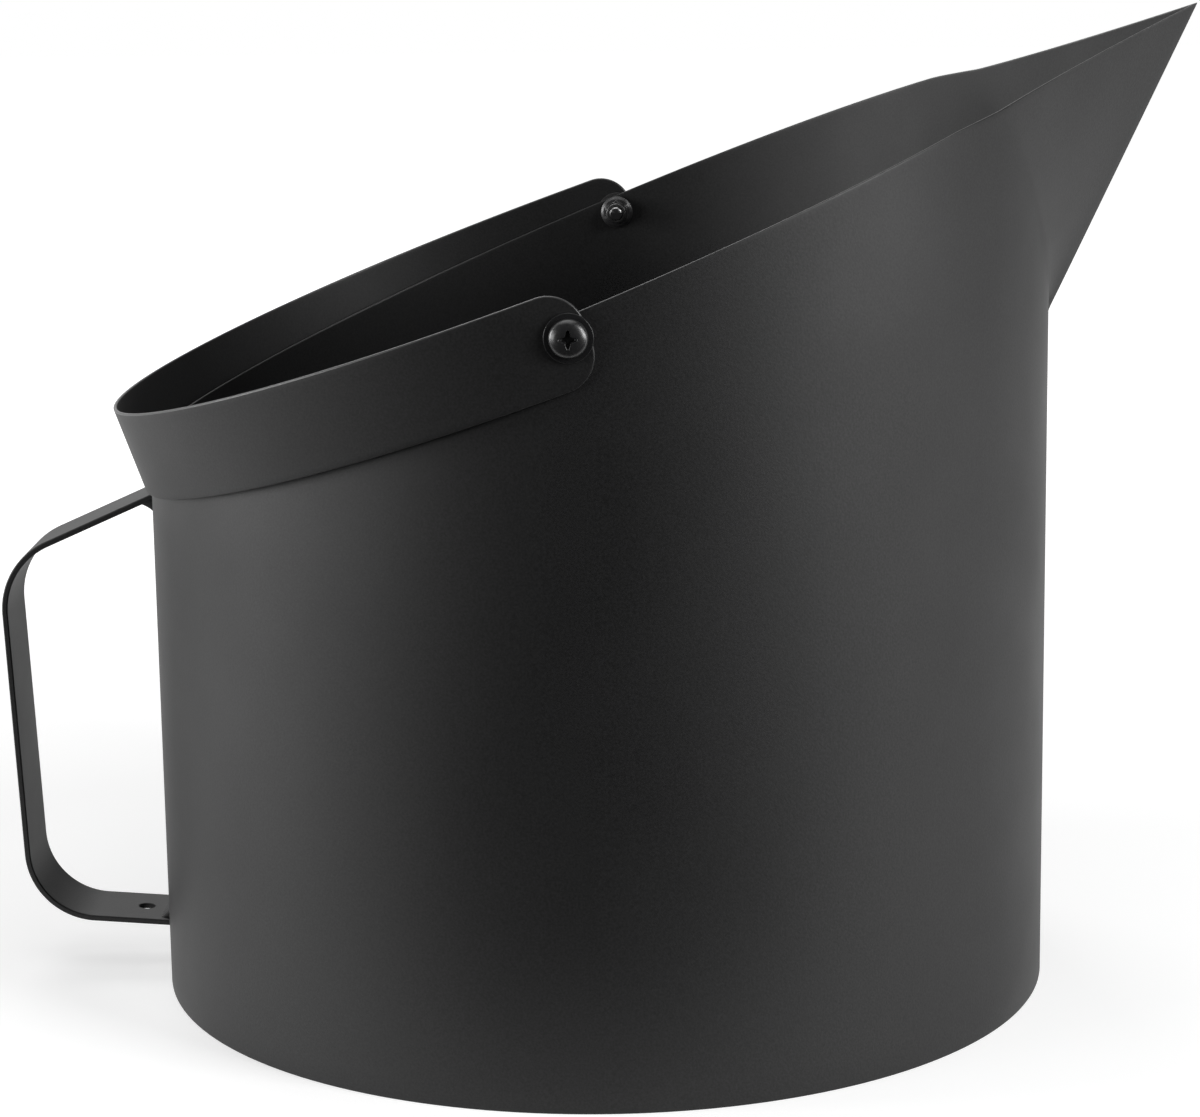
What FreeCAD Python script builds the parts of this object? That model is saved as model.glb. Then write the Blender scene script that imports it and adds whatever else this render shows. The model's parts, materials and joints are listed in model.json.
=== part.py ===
import FreeCAD, Part
import math
import os

from FreeCAD import Vector

# Sheet-steel pellet bin with a folded spout, a swinging bail and a fixed rear handle.
# Millimetres. +X points at the spout, +Z is up, the origin is the middle of the base's underside.

# Body
body_radius = 150.0         # outside of the round wall
sheet = 1.2                 # wall and spout sheet
rim_height = 248.0          # slanted rim's height on the body's axis
rim_slope = 22.25           # degrees, rising towards the spout
base_sheet = 1.2
base_bead = 3.0             # leg of the bead round the base, inside
weld_gap = 0.1              # bare gap that a weld closes

# Spout
spout_depth = 73.6          # the creases' rise, from the spout's root up to the rim
spout_front_drop = 2.7      # the straight front edge, carried on, meets the wall this far below the root
spout_half_angle = 30.0     # degrees from the front to where a crease meets the rim
spout_reach = 47.8          # tip beyond the wall
spout_tip_drop = 1.8        # tip below the plane of the rim
lip_pinch = 8.0             # how far the lips are drawn in, at the curve's control point
lip_bias = 0.5              # where along the lip that point lies, from the crease to the tip
lip_dip = 1.4               # lips below the plane of the rim where they start
lip_dip_run = 14.0          # length of wall, before the crease, over which the rim sinks to that
outer_overrun = 1.1         # spout's outside is made this much taller than its lips, then cut off
inner_overrun = 1.25        # and its inside, so that it comes out above

# Bail
bail_width = 29.6
bail_drop = 0.5             # strip's middle under its pivot hole
bail_sheet = 1.2
bail_leg = 14.5             # straight leg from the pivot to the start of the bend
bail_end = 6.0              # strip beyond the pivot
bail_end_flat = 6.8         # straight stretch left between the rounded corners of the strip's ends
bail_rest_gap = 0.5         # lower edge to the wall at the back, at rest
pivot_below_rim = 6.3       # pivot axis under the rim, on the body's axis

# Pivot hardware
screw_radius = 2.5
head_radius = 5.9
head_edge = 0.7             # straight rim of the head
head_dome = 2.5             # dome above that rim
recess_width = 1.3          # cross recess
recess_radius = 2.9
recess_root = 1.0           # radius at the recess's bottom
recess_depth = 2.0
screw_stub = 1.2            # screw end beyond the lock nut
screw_chamfer = 0.5
head_washer_radius = 7.5
head_washer_sheet = 1.2
spacer_radius = 7.0
spacer_sheet = 0.7
bail_side_play = 0.1        # on each face of the bail
bail_running_gap = 0.06     # bail's hole round the screw, on the radius
screw_gap = 0.1             # holes in the wall and washers round the screw, on the radius
thread_gap = 0.05           # nut and insert round the screw, on the radius
nut_flange_radius = 5.9
nut_flange = 1.0
nut_across_flats = 8.0
nut_cone = 0.9              # from the flange up to the hexagon
nut_hex = 4.4               # top of the hexagon above the seat
nut_collar_radius = 3.8
nut_height = 6.2
insert_radius = 3.3
insert_height = 1.3
insert_gap = 0.03           # insert in the nut's collar

# Rear handle
handle_width = 28.0
handle_sheet = 2.0
handle_under_bail = 3.6     # upper leg's top face at the wall, below the resting bail
handle_top_reach = 53.8     # outer upper corner beyond the wall
handle_top_drop = 23.9      # that corner below the upper leg's root
handle_foot_height = 15.4   # lower leg's bottom face at the wall
handle_foot_reach = 48.5    # outer lower corner beyond the wall
handle_foot_rise = 2.9      # that corner above the lower leg's root
handle_top_bend = 26.7      # outer bend radii
handle_foot_bend = 24.8
hang_hole_radius = 2.7
hang_hole_offset = 10.2     # hole's centre from the wall
upper_weld = 4.5            # leg of the fillet under the upper leg
lower_weld = 2.5            # leg of the fillet on the lower leg
weld_inset = 1.0            # each weld stops short of the strip's edges
weld_hollow = 0.34          # middle of a weld's hollow face, as a share of each leg

# Worked out from the sizes above
UP = Vector(0, 0, 1)
ACROSS = Vector(0, 1, 0)
ORIGIN = Vector(0, 0, 0)
inner_radius = body_radius - sheet
rim_rise = math.tan(math.radians(rim_slope))
pivot_height = rim_height - pivot_below_rim
far = 2 * (body_radius + rim_height)
spacer_seat = body_radius
bail_inner = spacer_seat + spacer_sheet + bail_side_play
bail_outer = bail_inner + bail_sheet
washer_seat = bail_outer + bail_side_play
head_seat = washer_seat + head_washer_sheet
nut_seat = math.sqrt(inner_radius ** 2 - nut_flange_radius ** 2)
nut_top = nut_seat - nut_height
screw_end = nut_top - screw_stub


def rim_at(x):
    """Height of the rim's plane at x."""
    return rim_height + rim_rise * x


def disc(radius, y_low, y_high):
    """Round bar along Y through the pivot."""
    return Part.makeCylinder(radius, y_high - y_low, Vector(0, y_low, pivot_height), ACROSS)


def inward(direction):
    """Quarter turn in the upright middle plane, towards the inside of the handle's loop."""
    return Vector(-direction.z, 0, direction.x)


def inset(corners, distance):
    """Corners of the parallel path on the inner side of the bends."""
    normals = [inward((after - before).normalize()) for before, after in zip(corners, corners[1:])]
    path = [corners[0] + normals[0] * distance]
    for corner, before, after in zip(corners[1:], normals, normals[1:]):
        path.append(corner + (before + after) * (distance / (1 + before.dot(after))))
    path.append(corners[-1] + normals[-1] * distance)
    return path


def rounded_path(corners, radii):
    """Edges of straight runs joined by tangent arcs; radii belong to the corners between the ends."""
    edges = []
    start = corners[0]
    for before, corner, after, radius in zip(corners, corners[1:], corners[2:], radii):
        back = (before - corner).normalize()
        ahead = (after - corner).normalize()
        half = back.getAngle(ahead) / 2
        run = radius / math.tan(half)
        middle = corner + (back + ahead).normalize() * (radius / math.sin(half) - radius)
        first = corner + back * run
        last = corner + ahead * run
        edges.append(Part.makeLine(start, first))
        edges.append(Part.Arc(first, middle, last).toShape())
        start = last
    edges.append(Part.makeLine(start, corners[-1]))
    return edges


def bent_strip(outer, radii, thickness, width):
    """Strip centred on Y, from its outer face's corners and outer bend radii."""
    inner = inset(outer, thickness)
    edges = rounded_path(outer, radii)
    edges += rounded_path(inner, [radius - thickness for radius in radii])
    edges += [Part.makeLine(outer[0], inner[0]), Part.makeLine(outer[-1], inner[-1])]
    face = Part.Face(Part.Wire(Part.sortEdges(edges)[0]))
    face.translate(ACROSS * (-width / 2))
    return face.extrude(ACROSS * width)


def fillet_bead(corner, along, down, leg, width):
    """Weld fillet with a hollow face in the corner between two directions, centred on Y."""
    tip = corner + along * leg
    toe = corner + down * leg
    waist = corner + (along + down) * (leg * weld_hollow)
    edges = [Part.makeLine(toe, corner), Part.makeLine(corner, tip), Part.Arc(tip, waist, toe).toShape()]
    face = Part.Face(Part.Wire(edges))
    face.translate(ACROSS * (-width / 2))
    return face.extrude(ACROSS * width)


def spout(radius, tip, overrun):
    """Spout's filled shape: planar sections from its root point, scaled up to the lips and past them.

    Each section runs from a crease, which is a straight line on the unrolled wall, along a curved
    lip to the front edge, and is mirrored.
    """
    half = math.radians(spout_half_angle)
    root = Vector(radius, 0, rim_at(body_radius * math.cos(half)) - spout_depth)
    foot = root - UP * spout_front_drop
    profiles = [Part.Vertex(root)]
    for step in (0.25, 0.5, 0.75, overrun):
        turn = half * step
        crease = Vector(radius * math.cos(turn), radius * math.sin(turn), root.z + spout_depth * step)
        front = foot + (tip - foot) * step
        chord = Vector(front.x - crease.x, front.y - crease.y, 0)
        drawn_in = Vector(chord.y, -chord.x, 0).normalize() * (lip_pinch * step)
        pull = crease + chord * lip_bias + drawn_in
        pull.z = crease.z + (pull.x - crease.x) * (front.z - crease.z) / chord.x
        lip = Part.BezierCurve()
        lip.setPoles([crease, pull, front])
        near = lip.toShape()
        other = near.mirror(ORIGIN, ACROSS)
        back = Part.makeLine(Vector(crease.x, -crease.y, crease.z), crease)
        profiles.append(Part.Wire(Part.sortEdges([near, other, back])[0]))
    return Part.makeLoft(profiles, True, False)


def above_rim(crease_x, tip):
    """Everything above the slanted rim and the lips, which sink a little where the spout starts."""
    dip_x = crease_x - lip_dip_run
    crease = Vector(crease_x, 0, rim_at(crease_x) - lip_dip)
    beyond = tip + (tip - crease).normalize() * far
    top = beyond.z + far
    outline = [
        Vector(-far, 0, rim_at(-far)),
        Vector(dip_x, 0, rim_at(dip_x)),
        crease,
        beyond,
        Vector(beyond.x, 0, top),
        Vector(-far, 0, top),
    ]
    face = Part.Face(Part.makePolygon(outline + outline[:1]))
    face.translate(ACROSS * -far)
    return face.extrude(ACROSS * (2 * far))


def body_shell():
    """Round wall cut off along the slanted rim, opened at the front into the spout."""
    half = math.radians(spout_half_angle)
    tip_x = body_radius + spout_reach
    tip = Vector(tip_x, 0, rim_at(tip_x) - spout_tip_drop)
    crease_x = body_radius * math.cos(half)
    lip_angle = math.atan2(body_radius * math.sin(half), tip_x - crease_x)
    inner_tip = tip - Vector(sheet / math.sin(lip_angle), 0, 0)
    outside = Part.makeCylinder(body_radius, far).fuse(spout(body_radius, tip, outer_overrun))
    inside = Part.makeCylinder(inner_radius, far).fuse(spout(inner_radius, inner_tip, inner_overrun))
    shell = outside.cut(above_rim(crease_x, tip)).cut(inside)
    return shell.cut(disc(screw_radius + screw_gap, -far, far))


def base_disc():
    return Part.makeCylinder(inner_radius - weld_gap, base_sheet)


def base_weld():
    """Triangular bead round the inside of the base."""
    edge = inner_radius - weld_gap
    low = Vector(edge - base_bead, 0, base_sheet)
    corner = Vector(edge, 0, base_sheet)
    top = Vector(edge, 0, base_sheet + base_bead)
    face = Part.Face(Part.makePolygon([low, corner, top, low]))
    return face.revolve(ORIGIN, UP, 360)


def handle_corners():
    """Corners of the handle's outer face, from the upper root to the lower root."""
    top = bail_low_point() - handle_under_bail
    return [
        Vector(-body_radius, 0, top),
        Vector(-body_radius - handle_top_reach, 0, top - handle_top_drop),
        Vector(-body_radius - handle_foot_reach, 0, handle_foot_height + handle_foot_rise),
        Vector(-body_radius, 0, handle_foot_height),
    ]


def leg_frame(root, corner, side):
    """Inner face of a handle leg at the wall: its root point and its outward direction."""
    out = (corner - root).normalize()
    slip = inward(out) * (handle_sheet * side)
    return root + slip - out * (slip.x / out.x), out


def to_wall(solid):
    """Trims a piece that is welded to the wall to the wall's outside."""
    return solid.cut(Part.makeCylinder(body_radius + weld_gap, far))


def rear_handle():
    """Flat strip bent to a hand-sized loop, with a hole to hang the bin by."""
    top, upper, lower, foot = handle_corners()
    start = top + (top - upper).normalize() * handle_width
    end = foot + (foot - lower).normalize() * handle_width
    outer = [start, upper, lower, end]
    strip = bent_strip(outer, [handle_top_bend, handle_foot_bend], handle_sheet, handle_width)
    hole_top = handle_foot_height + handle_foot_rise + 2 * handle_sheet
    hole = Part.makeCylinder(hang_hole_radius, hole_top, Vector(-body_radius - hang_hole_offset, 0, 0))
    return to_wall(strip).cut(hole)


def handle_upper_weld():
    top, upper = handle_corners()[:2]
    corner, out = leg_frame(top, upper, 1)
    return to_wall(fillet_bead(corner, out, UP * -1, upper_weld, handle_width - 2 * weld_inset))


def handle_lower_weld():
    lower, foot = handle_corners()[2:]
    corner, out = leg_frame(foot, lower, -1)
    return to_wall(fillet_bead(corner, out, UP, lower_weld, handle_width - 2 * weld_inset))


def bail_rest_angle():
    """Degrees below level at which the bail's lower inner edge stops short of the wall's back."""
    reach = bail_leg + bail_inner
    lower = bail_width / 2 + bail_drop
    turn = math.acos((body_radius + bail_rest_gap) / math.hypot(reach, lower))
    return math.degrees(turn - math.atan2(lower, reach))


def bail_low_point():
    """Height of the bail's lower outer edge at the back, at rest."""
    turn = math.radians(bail_rest_angle())
    lower = bail_width / 2 + bail_drop
    return pivot_height - (bail_leg + bail_outer) * math.sin(turn) - lower * math.cos(turn)


def bail_handle():
    """U-shaped strip on edge, made level and then turned down about the pivot to its rest."""
    low = -bail_width / 2
    bend = Vector(-bail_leg, 0, low)
    block = Part.makeCylinder(bail_outer, bail_width, bend)
    block = block.fuse(Part.makeBox(far, 2 * bail_outer, bail_width, bend - ACROSS * bail_outer))
    space = Part.makeCylinder(bail_inner, bail_width, bend)
    space = space.fuse(Part.makeBox(far, 2 * bail_inner, bail_width, bend - ACROSS * bail_inner))
    ends = Part.makeBox(far, 2 * far, bail_width, Vector(bail_end - far, -far, low))
    corners = [edge for edge in ends.Edges if edge.BoundBox.XMin > 0 and edge.BoundBox.YLength > far]
    ends = ends.makeFillet((bail_width - bail_end_flat) / 2, corners)
    strip = block.cut(space).common(ends).removeSplitter()
    strip.translate(UP * -bail_drop)
    hole = Part.makeCylinder(screw_radius + bail_running_gap, 2 * far, ACROSS * -far, ACROSS)
    strip = strip.cut(hole)
    strip.rotate(ORIGIN, ACROSS, -bail_rest_angle())
    strip.translate(UP * pivot_height)
    return strip


def pivot_screw():
    """Domed head with a cross recess on a plain shank with a chamfered end, turned in one."""
    rim = head_seat + head_edge
    top = rim + head_dome
    dome_radius = (head_radius ** 2 + head_dome ** 2) / (2 * head_dome)
    half = math.asin(head_radius / dome_radius) / 2
    crown = Vector(dome_radius * math.sin(half), top - dome_radius * (1 - math.cos(half)), pivot_height)
    outline = [
        Vector(0, top, pivot_height),
        Vector(0, screw_end, pivot_height),
        Vector(screw_radius - screw_chamfer, screw_end, pivot_height),
        Vector(screw_radius, screw_end + screw_chamfer, pivot_height),
        Vector(screw_radius, head_seat, pivot_height),
        Vector(head_radius, head_seat, pivot_height),
        Vector(head_radius, rim, pivot_height),
    ]
    edges = Part.makePolygon(outline).Edges
    edges.append(Part.Arc(outline[-1], crown, outline[0]).toShape())
    screw = Part.Face(Part.Wire(edges)).revolve(Vector(0, 0, pivot_height), ACROSS, 360)
    low = top - recess_depth
    cone = Part.makeCone(recess_root, recess_radius, recess_depth, Vector(0, low, pivot_height), ACROSS)
    slot = Part.makeBox(2 * recess_radius, recess_depth, recess_width,
                        Vector(-recess_radius, low, pivot_height - recess_width / 2))
    upright = slot.copy()
    upright.rotate(Vector(0, 0, pivot_height), ACROSS, 90)
    return screw.cut(cone.common(slot.fuse(upright)))


def washer(radius, seat, thickness):
    return disc(radius, seat, seat + thickness).cut(disc(screw_radius + screw_gap, seat, seat + thickness))


def lock_nut():
    """Flanged hexagon nut on the inside of the wall, with a round collar that holds the insert."""
    flange_low = nut_seat - nut_flange
    cone_low = Vector(0, flange_low - nut_cone, pivot_height)
    flange = disc(nut_flange_radius, flange_low, nut_seat)
    cone = Part.makeCone(nut_across_flats / 2, nut_flange_radius, nut_cone, cone_low, ACROSS)
    centre = Vector(0, flange_low, pivot_height)
    corner = Vector(nut_across_flats / math.sqrt(3), 0, 0)
    points = [centre + FreeCAD.Rotation(ACROSS, 60 * turn).multVec(corner) for turn in range(7)]
    hexagon = Part.Face(Part.makePolygon(points)).extrude(ACROSS * (nut_flange - nut_hex))
    collar = disc(nut_collar_radius, nut_top, flange_low)
    nut = flange.fuse([cone, hexagon, collar])
    nut = nut.cut(disc(insert_radius, nut_top, nut_top + insert_height))
    return nut.cut(disc(screw_radius + thread_gap, nut_top, nut_seat)).removeSplitter()


def nylon_insert():
    ring = disc(insert_radius - insert_gap, nut_top, nut_top + insert_height)
    return ring.cut(disc(screw_radius + thread_gap, nut_top, nut_top + insert_height))


parts = {
    "body_shell": body_shell(),
    "base_disc": base_disc(),
    "base_weld": base_weld(),
    "rear_handle": rear_handle(),
    "handle_upper_weld": handle_upper_weld(),
    "handle_lower_weld": handle_lower_weld(),
    "bail_handle": bail_handle(),
}
pivot_pieces = {
    "pivot_screw": pivot_screw(),
    "head_washer": washer(head_washer_radius, washer_seat, head_washer_sheet),
    "spacer_washer": washer(spacer_radius, spacer_seat, spacer_sheet),
    "lock_nut": lock_nut(),
    "nylon_insert": nylon_insert(),
}
for name, shape in pivot_pieces.items():
    parts["left_" + name] = shape
    parts["right_" + name] = shape.mirror(ORIGIN, ACROSS)

os.makedirs("parts", exist_ok=True)
for name, shape in parts.items():
    shape.exportStep("parts/" + name + ".step")
    print(name, len(shape.Solids), "solids, valid", shape.isValid(), "volume", round(shape.Volume, 1))
print("bail rests", round(bail_rest_angle(), 3), "degrees below level, pivot at", round(pivot_height, 3))
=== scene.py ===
import json

import bmesh
import bpy
import numpy as np
from mathutils import Matrix, Vector


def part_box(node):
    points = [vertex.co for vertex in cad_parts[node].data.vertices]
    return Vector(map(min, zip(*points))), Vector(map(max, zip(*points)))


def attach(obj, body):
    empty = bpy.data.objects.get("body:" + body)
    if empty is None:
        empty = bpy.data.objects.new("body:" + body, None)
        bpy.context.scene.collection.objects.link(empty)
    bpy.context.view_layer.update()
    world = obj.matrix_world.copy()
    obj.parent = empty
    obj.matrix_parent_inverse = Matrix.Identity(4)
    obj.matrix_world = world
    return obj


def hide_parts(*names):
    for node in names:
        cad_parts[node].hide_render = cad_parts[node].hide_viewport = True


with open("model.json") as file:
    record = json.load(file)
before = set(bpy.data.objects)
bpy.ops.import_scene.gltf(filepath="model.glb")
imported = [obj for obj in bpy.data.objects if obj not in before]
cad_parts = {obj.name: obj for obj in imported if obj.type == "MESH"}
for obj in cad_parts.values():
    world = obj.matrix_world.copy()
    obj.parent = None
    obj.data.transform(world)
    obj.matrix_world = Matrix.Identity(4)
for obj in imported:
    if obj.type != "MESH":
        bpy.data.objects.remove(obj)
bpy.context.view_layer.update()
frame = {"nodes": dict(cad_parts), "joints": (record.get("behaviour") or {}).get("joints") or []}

# Black powder-coated pellet bin: wall with a folded spout, bail, rear handle, welds and pivot hardware.
# Metres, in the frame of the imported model. Sizes below are written in millimetres.
MM = 0.001

# Meshes
MERGE_DISTANCE = 1e-6
SLIVER_LENGTH = 1e-7
SHARP_ANGLE = 50                 # degrees, past which an edge stays sharp

# Wall and spout
BODY_RADIUS = 150.0 * MM
SHEET = 1.2 * MM
RIM_HEIGHT = 248.0 * MM
RIM_RISE = np.tan(np.radians(22.25))
SPOUT_HALF_ANGLE = np.radians(30.0)
SPOUT_DEPTH = 73.6 * MM
SPOUT_FRONT_DROP = 2.7 * MM
SPOUT_REACH = 47.8 * MM
SPOUT_TIP_DROP = 1.8 * MM
LIP_PINCH = 8.0 * MM
LIP_DIP = 1.4 * MM
LIP_DIP_RUN = 14.0 * MM
CREASE_SOFTNESS = 0.22 * MM      # how much the bend at a crease fills its corner
RIDGE_SOFTNESS = 0.0016          # radians, rounds the spout's front edge
EDGE_ROUND = 0.55 * MM           # coated edges of cut sheet
EDGE_STEPS = 5

# How the spout's skin is solved
LOWEST_SHARE = 0.03              # of the spout's depth, below which the skin only follows a slope
LEAST_SHARE = 0.01
LIP_SPREAD = 0.3                 # how much further apart in height lip lines are at the front edge
HALVINGS = 36
HEIGHT_STEPS = 3
RIM_STEPS = 10

# Grid of the wall, finer at the spout
FINE_SPAN = np.radians(34)       # each way from the front
FINE_COLUMNS = 171
COARSE_COLUMNS = 148
FINE_LEVEL = 0.62                # share of the way up to the rim
FINE_ROWS = 76
COARSE_ROWS = 19

# Bail
BAIL_INNER = 150.8 * MM
BAIL_SHEET = 1.2 * MM
BAIL_WIDTH = 29.6 * MM
BAIL_DROP = 0.5 * MM
BAIL_LEG = 14.5 * MM
BAIL_END = 6.0 * MM
BAIL_END_FLAT = 6.8 * MM
BAIL_REST = np.radians(19.673)
BAIL_BEND_STEPS = 90             # over a quarter turn
BAIL_CORNER_STEPS = 25
BAIL_LEG_STEPS = 5
BAIL_ROWS = 21
BAIL_EDGE_STEPS = 6

# Rear handle
HANDLE_WIDTH = 28.0 * MM
HANDLE_SHEET = 2.0 * MM
HANDLE_ROOM = 0.1 * MM           # bare gap at the wall
HANDLE_CORNERS = np.array([[-150.0, 167.64], [-203.8, 143.74], [-198.5, 18.3], [-150.0, 15.4]]) * MM
HANDLE_BENDS = np.array([26.7, 24.8]) * MM
HANDLE_BEND_STEPS = 24
HANDLE_COLUMNS = 17
HOLE_RADIUS = 2.7 * MM
HOLE_X = -160.2 * MM
HOLE_PLATE = 22.0 * MM           # stretch of the lower leg, from the wall, that holds the hole
PLATE_COLUMNS = 15
PLATE_RINGS = (0, 0.1, 0.28, 0.6, 1)    # shares of the way from the hole to the plate's sides
BEVEL_SEGMENTS = 3

# Welds
UPPER_WELD = 4.5 * MM
LOWER_WELD = 3.3 * MM
WELD_FILL = 0.92                 # 1 is a flat fillet, less is a hollow one
UPPER_INSET = 0.3 * MM
LOWER_INSET = 2.4 * MM
WELD_RIPPLE = 0.12               # how much each ripple swells the bead
WELD_PITCH = 3.2 * MM
WELD_RUN_OUT = 60                # power of the curve at a bead's ends, more is a blunter end
WELD_STEPS = 97
WELD_FACE_STEPS = 7
BASE_SHEET = 1.2 * MM
BASE_BEAD = 3.0 * MM
BASE_STEPS = 960

# Pivot hardware
SIDE_NAMES = {1: "left_", -1: "right_"}
SCREW_RADIUS = 2.5 * MM
SCREW_CHAMFER = 0.5 * MM
SCREW_SHARP_ANGLE = 55
SHANK_START = 0.2 * MM           # under the head
SHANK_STEPS = 140
HEAD_EDGE = 0.7 * MM
HEAD_ROUND = 0.3 * MM
HEAD_DOME = 2.46 * MM
HEAD_FLATNESS = 2.7              # 2 is an ellipse, more is a flatter top with a tighter edge
HEAD_STEPS = 81
RECESS_WIDTH = 2.3 * MM
RECESS_TAPER = 0.7               # how much narrower each arm is at its end
RECESS_RADIUS = 2.9 * MM
RECESS_ROOT = 1.8 * MM
RECESS_DEPTH = 2.0 * MM
RECESS_DRAFT = 0.2 * MM          # run-out of the cross's steep walls
THREAD_PITCH = 0.8 * MM
THREAD_DEPTH = 0.4 * MM
THREAD_START = 143.5 * MM        # thread shows from here to the screw's end
NUT_FLATS = 8.0 * MM
NUT_CORNERS = 0.97               # the hexagon's corners are cut to this share of their reach
NUT_FLANGE = 1.0 * MM
NUT_CONE = 0.9 * MM
NUT_BEVEL = 0.75 * MM            # even slope round the flange, before its flatter middle
NUT_HEX = 4.4 * MM
NUT_COLLAR = 3.8 * MM
NUT_RECESS = 3.3 * MM
NUT_RECESS_DEPTH = 1.3 * MM
NUT_ROLL = 0.8 * MM              # height of the collar's rolled edge
NUT_ROLL_STEPS = 7
NUT_EDGE = 0.2 * MM
NUT_BORE = SCREW_RADIUS + 0.05 * MM
NUT_STEPS = 144
NUT_SHARP_ANGLE = 32
WASHER_BORE = 2.6 * MM
WASHER_EDGE = 0.3 * MM
SPACER_EDGE = 0.15 * MM
INSERT_BORE = 2.55 * MM
INSERT_EDGE = 0.25 * MM
RING_STEPS = 96
RING_EDGE_STEPS = 5
RING_SHARP_ANGLE = 40

# Materials. Grain is in spots per metre, a bump is a distance and a strength.
# A finish is a roughness and a gloss.
GRAIN_RANGE = (0.3, 0.7)         # where most of a noise's values lie
COAT_DARK = (0.0015, 0.0015, 0.0016)
COAT_LIGHT = (0.0095, 0.0095, 0.0099)
COAT_FINISH = (0.55, 0.4)
RIM_FINISH = (0.48, 0.52)        # pellets smooth the rim
WORN_FINISH = (0.42, 0.8)        # hands polish the bail's upper edge
COAT_GRAIN = 1400
COAT_BUMP = (0.00012, 0.25)
COAT_PATCHES = 22
COAT_PATCH_DETAIL = 3
COAT_UNEVEN = 0.03               # of roughness, each way
STEEL_DARK = (0.006, 0.006, 0.006)
STEEL_LIGHT = (0.016, 0.016, 0.017)
HEAD_FINISH = (0.32, 0.8)
NUT_FINISH = (0.42, 0.9)
WASHER_FINISH = (0.3, 0.3)
STEEL_GRAIN = 2400
STEEL_BUMP = (0.00003, 0.2)
STEEL_UNEVEN = 0.04
BARE_DARK = (0.3, 0.3, 0.3)
BARE_LIGHT = (0.45, 0.45, 0.45)
BARE_ROUGH = (0.25, 0.35)
NYLON_DARK = (0.012, 0.012, 0.012)
NYLON_LIGHT = (0.022, 0.022, 0.022)
NYLON_ROUGH = (0.42, 0.55)
NYLON_GRAIN = 1800
NYLON_BUMP = (0.00004, 0.25)

# Camera, fitted to the photograph
CAMERA_PLACE = (0.06495, -1.18841, 0.40568)
CAMERA_RIGHT = (0.9986, 0.0515, -0.0138)
CAMERA_VIEW = (-0.0533, 0.9749, -0.2164)
CAMERA_LENS = 107.69
CAMERA_SENSOR = 36.0

# Studio
FLOOR_SIZE = 4.0
FLOOR_FRONT = -0.22
FLOOR_COLOUR = (0.6, 0.6, 0.6)
FLOOR_GLOW = 0.58                # near the bin, where the lamps add the rest of the white
GLOW_NEAR = 0.3
GLOW_FAR = 1.1
ROOM_DIM = 0.02
ROOM_WHITE = 1.0
ROOM_BRIGHT_SIDE = (-0.55, 0.65, 0.5)
ROOM_FADE = (0.2, 1.0)           # cosines of the angle to the bright side, from dim to white
LAMP_AIM = (0, 0, 0.16)
# Place, width, height and power
SOFT_BOXES = {
    "left_box": ((-1.3, -0.9, 0.25), 0.6, 0.5, 6.5),
    "left_side_box": ((-1.6, -0.2, 0.4), 0.6, 0.7, 14),
    "right_box": ((1.3, -0.9, 0.75), 0.6, 1.0, 22),
    "right_low_box": ((1.55, -0.5, 0.35), 0.6, 0.6, 9),
    "back_box": ((-0.6, 1.2, 1.4), 0.8, 0.8, 7),
    "top_box": ((-0.1, -0.25, 1.7), 1.3, 1.3, 8),
}

PIVOT = np.array(frame["joints"][0]["pos_m"])


def points_away(mesh, point):
    """Whether faces point away from a point: area times normal times offset adds up to more than 0."""
    count = len(mesh.polygons)
    normals = np.empty(3 * count, dtype=np.float32)
    centres = np.empty(3 * count, dtype=np.float32)
    areas = np.empty(count, dtype=np.float32)
    mesh.polygons.foreach_get("normal", normals)
    mesh.polygons.foreach_get("center", centres)
    mesh.polygons.foreach_get("area", areas)
    offsets = centres.reshape(-1, 3) - point
    return areas @ np.sum(normals.reshape(-1, 3) * offsets, axis=1) > 0


def merged_mesh(name, patches, sharp_angle=SHARP_ANGLE, inside=None, worn_patch=None):
    """One mesh from grids of points: quads between neighbours, wrapped where a grid says so.

    Each patch is (points of shape rows x columns x 3, wraps in rows, wraps in columns). Points that fall
    together are merged and edges past the sharp angle stay sharp. Faces of a closed mesh are turned
    outwards, and those of an open sheet away from the point inside. The worn patch takes the second
    material.
    """
    points = []
    quads = []
    slots = []
    count = 0
    for number, (grid, wrap_rows, wrap_columns) in enumerate(patches):
        rows, columns = grid.shape[:2]
        index = count + np.arange(rows * columns).reshape(rows, columns)
        if wrap_rows:
            index = np.vstack([index, index[:1]])
        if wrap_columns:
            index = np.hstack([index, index[:, :1]])
        corners = [index[:-1, :-1], index[:-1, 1:], index[1:, 1:], index[1:, :-1]]
        quads.append(np.stack(corners, axis=-1).reshape(-1, 4))
        slots.append(np.full(len(quads[-1]), int(number == worn_patch)))
        points.append(grid.reshape(-1, 3))
        count += rows * columns
    mesh = bpy.data.meshes.new(name)
    mesh.from_pydata(np.vstack(points), [], np.vstack(quads))
    mesh.polygons.foreach_set("material_index", np.concatenate(slots))
    work = bmesh.new()
    work.from_mesh(mesh)
    bmesh.ops.remove_doubles(work, verts=work.verts, dist=MERGE_DISTANCE)
    bmesh.ops.dissolve_degenerate(work, edges=work.edges, dist=SLIVER_LENGTH)
    bmesh.ops.recalc_face_normals(work, faces=work.faces)
    work.to_mesh(mesh)
    if inside is not None and not points_away(mesh, np.array(inside)):
        bmesh.ops.reverse_faces(work, faces=work.faces)
        work.to_mesh(mesh)
    work.free()
    mesh.shade_smooth()
    mesh.set_sharp_from_angle(angle=np.radians(sharp_angle))
    return mesh


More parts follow.
